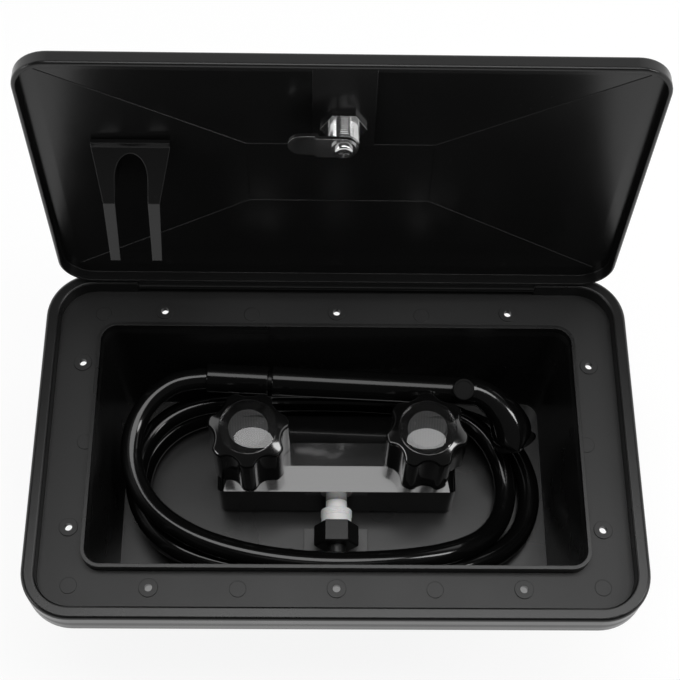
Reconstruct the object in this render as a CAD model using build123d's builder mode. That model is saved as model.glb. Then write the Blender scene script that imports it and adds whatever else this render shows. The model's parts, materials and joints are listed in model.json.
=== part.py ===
"""External shower box: a recessed wall box with a hinged, lockable lid, a two-handle mixing
faucet, a coiled hose and a hand shower.

Millimetres. The origin is the middle of the flange's back face, which lies on the wall panel.
+X runs along the box, +Y points to the hinge side and +Z points out of the wall. The lid is
shown open, as it rests on its stop.
"""
from build123d import *
from math import cos, pi, radians, sin, sqrt, tan
import os

# Flange and rim
flange_length = 330.0
flange_width = 203.4
flange_corner = 27.0
rim_height = 18.0
rim_wall = 7.1
rim_fillet = 2.0
rim_inner_fillet = 1.2
channel_floor = 8.0
flange_thickness = 3.0
skirt_wall = 3.0

# Well
lip_height = 6.6
well_wall = 2.0
well_mouth_length = 267.0
well_mouth_width = 140.4
well_mouth_corner = 9.0
well_floor_length = 253.0
well_floor_width = 127.0
well_centre_y = -0.7
well_depth = 95.0
floor_thickness = 3.0
floor_pad_length = 38.0
floor_pad_width = 28.0
floor_pad_height = 1.2
floor_pad_y = -34.0
shank_hole_clearance = 0.4

# Fixing holes in the channel
hole_radius = 2.1
hole_boss_radius = 5.0
hole_boss_height = 0.6
row_hole_spacing = 99.0
row_hole_from_rim = 12.5
side_hole_from_rim = 14.3
side_hole_spacing = 97.8
ejector_mark_radius = 4.4
ejector_mark_height = 0.3

# Hinge
hinge_behind_channel = 3.0
hinge_z = 13.1
hinge_rod_radius = 1.5
hinge_barrel_radius = 3.0
hinge_barrel_length = 229.0
hinge_rod_grip = 6.0
hinge_running_gap = 0.3
hinge_notch_front = 8.0
hinge_web_drop = 1.0
hinge_web_thickness = 2.6
hinge_web_gap = 1.8
lid_open_angle = 94.0

# Lid, measured from the hinge axis with the lid shut
lid_gap = 0.8
lid_edge = 5.7
lid_depth = 8.35
lid_rim_drop = 3.1
lid_wall = 2.2
lid_corner = 19.0
lid_crown = 2.6
lid_edge_fillet = 1.5
lid_border = 11.0
plateau_length = 96.0
plateau_width = 48.0
plateau_from_hinge = 93.2

# Lock
lock_x = 1.0
lock_from_edge = 49.0
lock_barrel_radius = 7.4
lock_barrel_end = 10.5
lock_head_radius = 11.5
lock_head_height = 2.4
lock_nut_flats = 20.0
lock_nut_height = 2.6
lock_plug_radius = 5.5
lock_pad_width = 31.0
lock_pad_height = 1.0
lock_pad_end = 14.0
lock_pad_bed = 1.2
lock_hole_clearance = 0.1
lock_head_fillet = 0.8
lock_plug_recess = 0.4
key_slot_length = 6.4
key_slot_width = 1.2
key_slot_depth = 6.0
cam_thickness = 2.0
cam_reach = 27.5
cam_width = 14.0
cam_crank = 1.5
cam_crank_start = 12.5
cam_hub_end = 14.0
cam_washer_radius = 6.3
cam_washer_thickness = 1.0
cam_screw_radius = 4.6
cam_screw_height = 2.0
cam_screw_fillet = 1.4
cam_screw_thread = 1.75
cam_screw_grip = 5.0
cam_screw_hole = 1.8
cam_screw_hole_depth = 6.0
cam_screw_cross = 5.0
cam_screw_cross_width = 1.0
cam_screw_cross_depth = 1.0
keeper_clearance = 1.5
keeper_side_clearance = 2.0
running_gap = 0.05

# Handset fork on the lid
fork_from_lid_end = 51.1
fork_root = 119.7
fork_knee_drop = 19.0
fork_knee_out = 23.8
fork_tip_drop = 53.0
fork_tip_out = 35.8
fork_thickness = 2.6
fork_root_width = 40.0
fork_width = 28.8
fork_slot = 16.6
fork_foot = 4.0
fork_arch_inset = 2.2
fork_foot_tread = 3.0
fork_prong_taper = 1.0
gusset_inset = 3.0
gusset_gap = 2.0
gusset_foot = 4.0

# Faucet
faucet_x = 1.0
faucet_y = 15.0
inlet_spacing = 101.6
faucet_length = 140.0
faucet_width = 48.0
faucet_top = -41.2
faucet_front_drop = 1.4
faucet_rear_drop = 1.8
faucet_corner = 5.0
faucet_end_radius = 9.0
faucet_ridge_rear = 6.0
faucet_ridge_front = 8.5
deck_gasket_thickness = 1.5
deck_gasket_inset = 1.0
valve_bore = 9.6
valve_floor = -70.0
bonnet_top = -35.0
bonnet_hex = 17.0
stem_radius = 4.5
stem_top = -14.0
stem_seal_width = 2.0
stem_seal_height = 2.0
inlet_radius = 10.4
inlet_end_radius = 10.2
inlet_chamfer = 1.0
inlet_bore = 6.5
inlet_length = 32.0
inlet_thread_depth = 3.5
locknut_flats = 30.0
locknut_height = 8.0
floor_washer_radius = 17.0
floor_washer_thickness = 1.5

# Knobs
knob_radius = 23.6
knob_lobes = 7
flute_radius = 9.0
flute_circle_radius = 28.6
knob_clearance = 0.6
knob_top = -3.0
knob_cavity = 15.5
knob_plate = 9.0
knob_hub = 7.5
knob_hub_clearance = 1.0
knob_flute_fillet = 4.0
knob_dome_radius = 46.0
knob_top_fillet = 2.2
knob_screw_radius = 2.0
knob_screw_head = 4.0
knob_screw_head_height = 2.6
knob_screw_grip = 10.0
knob_screw_hole_depth = 12.0
cap_radius = 16.3
cap_edge = 2.0
cap_rise = 2.8
index_radius = 11.3
index_thickness = 0.6

# Outlet and hose coupling
outlet_z = -60.0
outlet_neck_radius = 6.2
outlet_neck_length = 5.4
outlet_thread_radius = 8.9
outlet_thread_length = 16.6
outlet_bore = 4.0
nipple_bore = 3.5
outlet_plug_depth = 7.0
outlet_plug_radius = 5.0
hose_washer_thickness = 1.5
nut_flats = 22.6
nut_length = 13.1
nut_front_wall = 1.8
nut_chamfer = 0.8
coupling_clearance = 0.1
elbow_radius = 5.5
elbow_bend = 7.0
elbow_bore = 3.2
elbow_flange = 2.0
sleeve_radius = 8.0
sleeve_near = -24.0
sleeve_far = -51.0
barb_radius = 4.2
barb_short = 2.0
sleeve_fillet = 0.8

# Hose
hose_radius = 6.25

# Handset
handset_start = (-62.0, 53.65, -22.2)
handset_end = (74.0, 47.0, -22.6)
handle_from = 24.6
handle_radius = 8.8
handle_end_radius = 8.3
handle_overrun = 8.0
handle_joint = 10.0
handle_fillet = 1.0
grip_sleeve_radius = 8.5
grip_sleeve_back = 13.5
grip_sleeve_front = 22.5
grip_sleeve_clearance = 0.05
connector_radius = 5.0
connector_bore = 3.0
button_radius = 6.2
button_length = 22.0
button_travel = 4.0
button_proud = 4.2
button_fillet = 0.8
button_dish_radius = 4.9
button_dish_depth = 0.4
button_waist = 3.5
button_waist_height = 2.0
head_radius = 13.2
head_centre = (106.3, 22.0, -41.0)
head_direction = (0.38, -0.68, -0.63)
face_thickness = 2.5
face_inset = 1.2
spray_hole_radius = 0.7
spray_inner_radius = 5.0
spray_outer_radius = 9.5

# Panel gasket
gasket_inset = 0.5
gasket_hole_radius = 5.5
gasket_margin = 4.0

# Worked-out places
well_floor = rim_height - well_depth
lip_top = channel_floor + lip_height
channel_length = flange_length - 2 * rim_wall
channel_width = flange_width - 2 * rim_wall
channel_corner = flange_corner - rim_wall
hinge_y = channel_width / 2 + hinge_behind_channel
gasket_height = channel_floor - flange_thickness
row_hole_span = channel_width - 2 * row_hole_from_rim
side_hole_span = channel_length - 2 * side_hole_from_rim
deck_top = well_floor + deck_gasket_thickness
body_front = faucet_y - faucet_width / 2
body_rear = faucet_y + faucet_width / 2
knob_bottom = faucet_top + knob_clearance
locknut_bottom = well_floor - floor_thickness - floor_washer_thickness - locknut_height
inlets = [("left", faucet_x - inlet_spacing / 2, 90),
          ("right", faucet_x + inlet_spacing / 2, 90 + 180 / knob_lobes)]
lid_width = channel_length - 2 * lid_gap
lid_length = hinge_y - lid_edge + channel_width / 2 - lid_gap
fork_x = -lid_width / 2 + fork_from_lid_end
lid_top = lid_depth - lid_rim_drop
lid_under = lid_top - lid_wall
lid_middle = -lid_edge - lid_length / 2
lock_y = -lid_edge - lid_length + lock_from_edge
lock_seat = lid_under - lock_pad_height
cam_back = -lock_barrel_end - cam_thickness
cam_front = cam_back - cam_washer_thickness
notch_radius = hinge_barrel_radius + hinge_running_gap
knob_seat = knob_top - cap_edge - index_thickness
dome_radius = (cap_radius ** 2 + cap_rise ** 2) / (2 * cap_rise)
knob_dome_z = knob_top - sqrt(knob_dome_radius ** 2 - cap_radius ** 2)

row_holes = [(x, y) for y in (-row_hole_span / 2, row_hole_span / 2)
             for x in (-row_hole_spacing, 0, row_hole_spacing)]
side_holes = [(x, y) for x in (-side_hole_span / 2, side_hole_span / 2)
              for y in (-side_hole_spacing / 2, side_hole_spacing / 2)]
fixing_holes = row_holes + side_holes
ejector_marks = [(-138.5, 0.5), (138.5, 0.5), (-52, -82.5), (52, -82.5), (-141, -81), (141, -81),
                 (-134, 80), (-49, 80.5), (49, 80.5)]

# Hose route, from the faucet's sleeve round the well to the handset
route = [
    (sleeve_far, -46, outlet_z), (-77, -46, outlet_z), (-104.5, -31, -67), (-119, -1, -70.5),
    (-111, 31, -70.5), (-84, 51.5, -70.5), (-36, 54.5, -70.5), (22, 54.8, -70.4),
    (80, 52.5, -70.5), (109, 34, -70.4), (119.5, 3, -70.5), (111, -28, -69),
    (82, -48.5, -60), (31, -57, -48.5), (-22, -58.5, -45.5), (-80, -50, -45.5),
    (-108, -30, -48), (-119.5, 2, -50), (-110, 34, -52), (-83, 52.5, -54),
    (-36, 54.8, -56), (20, 55, -57), (70, 50.5, -57.5), (94, 34, -61),
    (104.7, 5.2, -67), (97, -24, -63), (72, -44, -46.5), (28, -54, -35),
    (-24, -55.5, -31), (-72, -45.5, -31), (-103.5, -26.5, -32), (-117.8, -1.5, -31),
    (-118.3, 24, -28.5), (-107, 43.9, -24.8), (-87, 54.87, -22.13), handset_start,
]


def corner_radii(points):
    """Radius of the arc at each inner point: 0.45 of the shorter run over tan(half the turn)."""
    radii = []
    for before, here, after in zip(points, points[1:], points[2:]):
        come = Vector(*here) - Vector(*before)
        go = Vector(*after) - Vector(*here)
        half_turn = radians(come.get_angle(go)) / 2
        radii.append(0.45 * min(come.length, go.length) / tan(half_turn))
    return radii


def lid_plane(height=0.0):
    """Plane parallel to the lid, in its open pose, at a height above the hinge axis."""
    turn = radians(lid_open_angle)
    normal = Vector(0, sin(turn), cos(turn))
    origin = Vector(0, hinge_y, hinge_z) + normal * height
    return Plane(origin=origin, x_dir=(1, 0, 0), z_dir=normal)


def lid_side_plane(x):
    """Plane square to the hinge axis: local x runs away from the hinge, local y out of the box."""
    turn = radians(lid_open_angle)
    away = Vector(0, -cos(turn), sin(turn))
    return Plane(origin=(x, hinge_y, hinge_z), x_dir=away, z_dir=(-1, 0, 0))


def handset_plane(distance):
    """Plane square to the handset's axis, at a distance from the hose's end."""
    start = Vector(*handset_start)
    axis = (Vector(*handset_end) - start).normalized()
    return Plane(origin=start + axis * distance, x_dir=(0, 1, 0), z_dir=axis)


os.makedirs("parts", exist_ok=True)

# Housing: flange, raised rim, channel, lip and well in one moulding
with BuildPart() as housing:
    with BuildSketch(Plane.XY):
        RectangleRounded(flange_length, flange_width, flange_corner)
    extrude(amount=rim_height)
    fillet(housing.faces().sort_by(Axis.Z)[-1].edges(), rim_fillet)
    with BuildSketch(Plane.XY.offset(channel_floor)):
        RectangleRounded(channel_length, channel_width, channel_corner)
    extrude(amount=rim_height, mode=Mode.SUBTRACT)
    fillet(housing.faces().sort_by(Axis.Z)[-1].inner_wires()[0].edges(), rim_inner_fillet)
    with BuildSketch(Plane.XY.offset(channel_floor)):
        with Locations((0, well_centre_y)):
            RectangleRounded(well_mouth_length + 2 * well_wall, well_mouth_width + 2 * well_wall,
                             well_mouth_corner + well_wall)
    extrude(amount=lip_height)
    with BuildSketch(Plane.XY.offset(channel_floor)):
        with Locations(*fixing_holes):
            Circle(hole_boss_radius)
    extrude(amount=hole_boss_height)
    with BuildSketch(Plane.XY.offset(channel_floor)):
        with Locations(*ejector_marks):
            Circle(ejector_mark_radius)
    extrude(amount=ejector_mark_height)
    with BuildSketch(Plane.XY):
        RectangleRounded(flange_length - 2 * skirt_wall, flange_width - 2 * skirt_wall,
                         flange_corner - skirt_wall)
    extrude(amount=gasket_height, mode=Mode.SUBTRACT)
    with BuildSketch(Plane.XY.offset(channel_floor - flange_thickness)):
        with Locations((0, well_centre_y)):
            RectangleRounded(well_mouth_length + 2 * well_wall, well_mouth_width + 2 * well_wall,
                             well_mouth_corner + well_wall)
    with BuildSketch(Plane.XY.offset(well_floor - floor_thickness)):
        with Locations((0, well_centre_y)):
            RectangleRounded(well_floor_length + 2 * well_wall, well_floor_width + 2 * well_wall,
                             well_mouth_corner + well_wall)
    loft()
    with BuildSketch(Plane.XY.offset(lip_top)):
        with Locations((0, well_centre_y)):
            RectangleRounded(well_mouth_length, well_mouth_width, well_mouth_corner)
    with BuildSketch(Plane.XY.offset(well_floor)):
        with Locations((0, well_centre_y)):
            RectangleRounded(well_floor_length, well_floor_width, well_mouth_corner)
    loft(mode=Mode.SUBTRACT)
    # Raised pad on the floor under the hose coupling
    with BuildSketch(Plane.XY.offset(well_floor)):
        with Locations((faucet_x, floor_pad_y)):
            Rectangle(floor_pad_length, floor_pad_width)
    extrude(amount=floor_pad_height)
    # Screw holes through the channel
    with BuildSketch(Plane.XY.offset(channel_floor - flange_thickness)):
        with Locations(*fixing_holes):
            Circle(hole_radius)
    extrude(amount=flange_thickness + hole_boss_height, mode=Mode.SUBTRACT)
    # Shank holes through the floor
    with BuildSketch(Plane.XY.offset(well_floor - floor_thickness)):
        with Locations(*[(x, faucet_y) for side, x, first_flute in inlets]):
            Circle(inlet_radius + shank_hole_clearance)
    extrude(amount=floor_thickness, mode=Mode.SUBTRACT)
    # Notch in the rear rim for the hinge barrel
    with BuildSketch(Plane.YZ.offset(-hinge_barrel_length / 2 - hinge_running_gap)):
        with Locations((hinge_y, hinge_z)):
            Circle(notch_radius)
        with Locations((hinge_y + (notch_radius - hinge_notch_front) / 2, hinge_z)):
            Rectangle(notch_radius + hinge_notch_front, 2 * (hinge_z - channel_floor))
    extrude(amount=hinge_barrel_length + 2 * hinge_running_gap, mode=Mode.SUBTRACT)
    # Rod holes in the rim at both ends of the notch
    with BuildSketch(Plane.YZ.offset(-hinge_barrel_length / 2 - hinge_rod_grip)):
        with Locations((hinge_y, hinge_z)):
            Circle(hinge_rod_radius)
    extrude(amount=hinge_barrel_length + 2 * hinge_rod_grip, mode=Mode.SUBTRACT)
    # Keeper slot that the cam turns into when the lid is shut
    with BuildSketch(Plane.XY.offset(hinge_z + cam_back - keeper_clearance)):
        with Locations((lock_x, well_centre_y - well_mouth_width / 2)):
            Rectangle(cam_width + 2 * keeper_side_clearance, 3 * well_wall)
    extrude(amount=cam_thickness + cam_crank + 2 * keeper_clearance, mode=Mode.SUBTRACT)
housing.part.label = "housing"
export_step(housing.part, "parts/housing.step")

# Foam gasket in the groove behind the flange
with BuildPart() as panel_gasket:
    with BuildSketch(Plane.XY):
        RectangleRounded(flange_length - 2 * (skirt_wall + gasket_inset),
                         flange_width - 2 * (skirt_wall + gasket_inset),
                         flange_corner - skirt_wall - gasket_inset)
        with Locations((0, well_centre_y)):
            RectangleRounded(well_mouth_length + 2 * (well_wall + gasket_margin),
                             well_mouth_width + 2 * (well_wall + gasket_margin),
                             well_mouth_corner, mode=Mode.SUBTRACT)
        with Locations(*fixing_holes):
            Circle(gasket_hole_radius, mode=Mode.SUBTRACT)
    extrude(amount=gasket_height)
panel_gasket.part.label = "panel_gasket"
export_step(panel_gasket.part, "parts/panel_gasket.step")

# Steel hinge rod
with BuildPart() as hinge_rod:
    with BuildSketch(Plane.YZ.offset(-hinge_barrel_length / 2 - hinge_rod_grip)):
        with Locations((hinge_y, hinge_z)):
            Circle(hinge_rod_radius)
    extrude(amount=hinge_barrel_length + 2 * hinge_rod_grip)
hinge_rod.part.label = "hinge_rod"
export_step(hinge_rod.part, "parts/hinge_rod.step")

# Lid: a pan with a raised middle, and the hinge barrel along its rear edge
with BuildPart() as lid:
    with BuildSketch(lid_plane(-lid_rim_drop)):
        with Locations((0, lid_middle)):
            RectangleRounded(lid_width, lid_length, lid_corner)
    extrude(amount=lid_depth)
    fillet(lid.faces().sort_by(Axis.Y)[-1].edges(), lid_edge_fillet)
    with BuildSketch(lid_plane(lid_top)):
        with Locations((0, lid_middle)):
            Rectangle(lid_width - 2 * lid_border, lid_length - 2 * lid_border)
    with BuildSketch(lid_plane(lid_top + lid_crown)):
        with Locations((0, -lid_edge - plateau_from_hinge)):
            Rectangle(plateau_length, plateau_width)
    loft()
    with BuildSketch(lid_plane(-lid_rim_drop)):
        with Locations((0, lid_middle)):
            RectangleRounded(lid_width - 2 * lid_wall, lid_length - 2 * lid_wall,
                             lid_corner - lid_wall)
    extrude(amount=lid_rim_drop + lid_under, mode=Mode.SUBTRACT)
    with BuildSketch(lid_plane(lid_under)):
        with Locations((0, lid_middle)):
            Rectangle(lid_width - 2 * lid_border, lid_length - 2 * lid_border)
    with BuildSketch(lid_plane(lid_under + lid_crown)):
        with Locations((0, -lid_edge - plateau_from_hinge)):
            Rectangle(plateau_length, plateau_width)
    loft(mode=Mode.SUBTRACT)
    # Pad behind the lock
    with BuildSketch(lid_plane(lock_seat)):
        with Locations((lock_x, -lid_edge - lid_length + lid_wall)):
            Rectangle(lock_pad_width, lock_from_edge + lock_pad_end, align=(Align.CENTER, Align.MIN))
    extrude(amount=lock_pad_height + lock_pad_bed)
    with BuildSketch(lid_plane(-lid_rim_drop)):
        with Locations((lock_x, lock_y)):
            Circle(lock_barrel_radius + lock_hole_clearance)
    extrude(amount=lid_depth + 2 * lid_crown, mode=Mode.SUBTRACT)
    # Hinge barrel and the web that carries it
    with BuildSketch(Plane.YZ.offset(-hinge_barrel_length / 2)):
        with Locations((hinge_y, hinge_z)):
            Circle(hinge_barrel_radius)
    extrude(amount=hinge_barrel_length)
    with BuildSketch(lid_plane(-hinge_web_drop)):
        with Locations((0, -lid_edge)):
            Rectangle(hinge_barrel_length, lid_edge - hinge_web_gap, align=(Align.CENTER, Align.MIN))
    extrude(amount=hinge_web_thickness)
    with BuildSketch(Plane.YZ.offset(-hinge_barrel_length / 2)):
        with Locations((hinge_y, hinge_z)):
            Circle(hinge_rod_radius + running_gap)
    extrude(amount=hinge_barrel_length, mode=Mode.SUBTRACT)
lid.part.label = "lid"
export_step(lid.part, "parts/lid.step")

# Cam lock: barrel with its outside head
with BuildPart() as lock_body:
    with BuildSketch(lid_plane(-lock_barrel_end)):
        with Locations((lock_x, lock_y)):
            Circle(lock_barrel_radius)
    extrude(amount=lock_barrel_end + lid_top + lid_crown)
    with BuildSketch(lid_plane(lid_top + lid_crown)):
        with Locations((lock_x, lock_y)):
            Circle(lock_head_radius)
    extrude(amount=lock_head_height)
    fillet(lock_body.faces().sort_by(Axis.Y)[-1].edges(), lock_head_fillet)
    with BuildSketch(lid_plane(-lock_barrel_end)):
        with Locations((lock_x, lock_y)):
            Circle(lock_plug_radius + running_gap)
    extrude(amount=lock_barrel_end + lid_top + lid_crown + lock_head_height, mode=Mode.SUBTRACT)
lock_body.part.label = "lock_body"
export_step(lock_body.part, "parts/lock_body.step")

with BuildPart() as lock_nut:
    with BuildSketch(lid_plane(lock_seat)):
        with Locations((lock_x, lock_y)):
            RegularPolygon(lock_nut_flats / 2, 6, major_radius=False)
            Circle(lock_barrel_radius, mode=Mode.SUBTRACT)
    extrude(amount=-lock_nut_height)
lock_nut.part.label = "lock_nut"
export_step(lock_nut.part, "parts/lock_nut.step")

with BuildPart() as lock_plug:
    with BuildSketch(lid_plane(-lock_barrel_end)):
        with Locations((lock_x, lock_y)):
            Circle(lock_plug_radius)
    extrude(amount=lock_barrel_end + lid_top + lid_crown + lock_head_height - lock_plug_recess)
    with BuildSketch(lid_plane(lid_top + lid_crown + lock_head_height)):
        with Locations((lock_x, lock_y)):
            Rectangle(key_slot_length, key_slot_width)
    extrude(amount=-key_slot_depth, mode=Mode.SUBTRACT)
    with BuildSketch(lid_plane(-lock_barrel_end)):
        with Locations((lock_x, lock_y)):
            Circle(cam_screw_hole)
    extrude(amount=cam_screw_hole_depth, mode=Mode.SUBTRACT)
lock_plug.part.label = "lock_plug"
export_step(lock_plug.part, "parts/lock_plug.step")

# Cam: a flat arm with a shallow crank, on the plug's end
with BuildPart() as lock_cam:
    with BuildSketch(lid_plane(-lock_barrel_end)):
        with Locations((lock_x, lock_y)):
            Circle(cam_width / 2)
            Rectangle(cam_hub_end, cam_width, align=(Align.MAX, Align.CENTER))
            Circle(cam_screw_hole, mode=Mode.SUBTRACT)
    extrude(amount=-cam_thickness)
    with BuildSketch(lid_plane(-lock_barrel_end + cam_crank)):
        with Locations((lock_x - cam_crank_start, lock_y)):
            Rectangle(cam_reach - cam_width / 2 - cam_crank_start, cam_width,
                      align=(Align.MAX, Align.CENTER))
        with Locations((lock_x - cam_reach + cam_width / 2, lock_y)):
            Circle(cam_width / 2)
    extrude(amount=-cam_thickness)
lock_cam.part.label = "lock_cam"
export_step(lock_cam.part, "parts/lock_cam.step")

with BuildPart() as cam_washer:
    with BuildSketch(lid_plane(cam_back)):
        with Locations((lock_x, lock_y)):
            Circle(cam_washer_radius)
            Circle(cam_screw_hole, mode=Mode.SUBTRACT)
    extrude(amount=-cam_washer_thickness)
cam_washer.part.label = "cam_washer"
export_step(cam_washer.part, "parts/cam_washer.step")

with BuildPart() as cam_screw:
    with BuildSketch(lid_plane(cam_front)):
        with Locations((lock_x, lock_y)):
            Circle(cam_screw_radius)
    extrude(amount=-cam_screw_height)
    # The open lid's inside looks towards -Y, so the head's outer edge is the one that lies lowest in Y
    head_edges = cam_screw.edges().filter_by(GeomType.CIRCLE).sort_by(Axis.Y)
    fillet(head_edges[0], cam_screw_fillet)
    with BuildSketch(lid_plane(cam_front - cam_screw_height)):
        with Locations((lock_x, lock_y)):
            Rectangle(cam_screw_cross, cam_screw_cross_width)
            Rectangle(cam_screw_cross_width, cam_screw_cross)
    extrude(amount=cam_screw_cross_depth, mode=Mode.SUBTRACT)
    with BuildSketch(lid_plane(cam_front)):
        with Locations((lock_x, lock_y)):
            Circle(cam_screw_thread)
    extrude(amount=cam_washer_thickness + cam_thickness + cam_screw_grip)
cam_screw.part.label = "cam_screw"
export_step(cam_screw.part, "parts/cam_screw.step")

# Fork on the lid that holds the handset: a sloping shelf that ends in two prongs
fork_drop = fork_thickness / cos(radians(45))
with BuildPart() as handset_fork:
    with BuildSketch(lid_side_plane(fork_x + fork_root_width / 2)):
        with BuildLine():
            Polyline((lid_edge + fork_root + fork_foot_tread, lid_under),
                     (lid_edge + fork_root + fork_foot_tread, lid_under - fork_thickness),
                     (lid_edge + fork_root, lid_under - fork_thickness),
                     (lid_edge + fork_root - fork_knee_drop, lid_under - fork_knee_out),
                     (lid_edge + fork_root - fork_tip_drop, lid_under - fork_tip_out),
                     (lid_edge + fork_root - fork_tip_drop, lid_under - fork_tip_out + fork_thickness),
                     (lid_edge + fork_root - fork_knee_drop - fork_prong_taper,
                      lid_under - fork_knee_out + fork_drop),
                     (lid_edge + fork_root - fork_drop, lid_under), close=True)
        make_face()
    extrude(amount=fork_root_width)
    with BuildSketch(lid_plane(lid_under)):
        with BuildLine():
            Polyline((fork_x - fork_root_width / 2, -lid_edge - fork_root - fork_foot),
                     (fork_x + fork_root_width / 2, -lid_edge - fork_root - fork_foot),
                     (fork_x + fork_root_width / 2, -lid_edge - fork_root),
                     (fork_x + fork_width / 2, -lid_edge - fork_root + fork_knee_drop),
                     (fork_x + fork_width / 2 - fork_prong_taper, -lid_edge - fork_root + fork_tip_drop),
                     (fork_x - fork_width / 2 + fork_prong_taper, -lid_edge - fork_root + fork_tip_drop),
                     (fork_x - fork_width / 2, -lid_edge - fork_root + fork_knee_drop),
                     (fork_x - fork_root_width / 2, -lid_edge - fork_root), close=True)
        make_face()
    extrude(amount=-fork_tip_out - fork_thickness, mode=Mode.INTERSECT)
    with BuildSketch(lid_plane(lid_under)):
        with Locations((fork_x, -lid_edge - fork_root + fork_arch_inset + fork_slot / 2)):
            Circle(fork_slot / 2)
            Rectangle(fork_slot, fork_tip_drop, align=(Align.CENTER, Align.MIN))
    extrude(amount=-fork_tip_out - fork_thickness, mode=Mode.SUBTRACT)
    # Gussets under the shelf
    with BuildSketch(lid_side_plane(fork_x - fork_slot / 2)):
        with BuildLine():
            Polyline((lid_edge + fork_root - gusset_inset, lid_under),
                     (lid_edge + fork_root - fork_knee_drop, lid_under - fork_knee_out + gusset_gap),
                     (lid_edge + fork_root - fork_knee_drop - gusset_foot, lid_under), close=True)
        make_face()
    extrude(amount=fork_thickness)
    with BuildSketch(lid_side_plane(fork_x + fork_slot / 2 + fork_thickness)):
        with BuildLine():
            Polyline((lid_edge + fork_root - gusset_inset, lid_under),
                     (lid_edge + fork_root - fork_knee_drop, lid_under - fork_knee_out + gusset_gap),
                     (lid_edge + fork_root - fork_knee_drop - gusset_foot, lid_under), close=True)
        make_face()
    extrude(amount=fork_thickness)
handset_fork.part.label = "handset_fork"
export_step(handset_fork.part, "parts/handset_fork.step")

# Faucet body: one casting with two valve bores, a cross passage and a front outlet
with BuildPart() as faucet_body:
    with BuildSketch(Plane.YZ.offset(faucet_x - faucet_length / 2)):
        with BuildLine():
            Polyline((body_front, deck_top), (body_rear, deck_top),
                     (body_rear, faucet_top - faucet_rear_drop),
                     (faucet_y + faucet_ridge_rear, faucet_top),
                     (faucet_y - faucet_ridge_front, faucet_top),
                     (body_front, faucet_top - faucet_front_drop), close=True)
        make_face()
    extrude(amount=faucet_length)
    fillet(faucet_body.edges().filter_by(Axis.Z), faucet_corner)
    # The ends are rounded down beside the knobs
    with BuildSketch(Plane.XZ.offset(-body_front)):
        with Locations((faucet_x, deck_top)):
            RectangleRounded(faucet_length, 2 * (faucet_top - deck_top), faucet_end_radius)
    extrude(amount=-faucet_width, mode=Mode.INTERSECT)
    with BuildSketch(Plane.XY.offset(valve_floor)):
        with Locations(*[(x, faucet_y) for side, x, first_flute in inlets]):
            Circle(valve_bore)
    extrude(amount=-valve_floor, mode=Mode.SUBTRACT)
    with BuildSketch(Plane.XY.offset(deck_top)):
        with Locations(*[(x, faucet_y) for side, x, first_flute in inlets]):
            Circle(inlet_radius)
    extrude(amount=inlet_thread_depth, mode=Mode.SUBTRACT)
    with BuildSketch(Plane.XY.offset(deck_top)):
        with Locations(*[(x, faucet_y) for side, x, first_flute in inlets]):
            Circle(inlet_bore)
    extrude(amount=valve_floor - deck_top, mode=Mode.SUBTRACT)
    with BuildSketch(Plane.YZ.offset(faucet_x - inlet_spacing / 2)):
        with Locations((faucet_y, outlet_z)):
            Circle(outlet_bore)
    extrude(amount=inlet_spacing, mode=Mode.SUBTRACT)
    with BuildSketch(Plane.XZ.offset(-body_front)):
        with Locations((faucet_x, outlet_z)):
            Circle(outlet_plug_radius)
    extrude(amount=-outlet_plug_depth, mode=Mode.SUBTRACT)
    with BuildSketch(Plane.XZ.offset(-body_front)):
        with Locations((faucet_x, outlet_z)):
            Circle(outlet_bore)
    extrude(amount=-faucet_width / 2, mode=Mode.SUBTRACT)
faucet_body.part.label = "faucet_body"
export_step(faucet_body.part, "parts/faucet_body.step")

with BuildPart() as deck_gasket:
    with BuildSketch(Plane.XY.offset(well_floor)):
        with Locations((faucet_x, faucet_y)):
            RectangleRounded(faucet_length - 2 * deck_gasket_inset,
                             faucet_width - 2 * deck_gasket_inset, faucet_corner)
        with Locations(*[(x, faucet_y) for side, x, first_flute in inlets]):
            Circle(inlet_radius, mode=Mode.SUBTRACT)
    extrude(amount=deck_gasket_thickness)
deck_gasket.part.label = "deck_gasket"
export_step(deck_gasket.part, "parts/deck_gasket.step")

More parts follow.
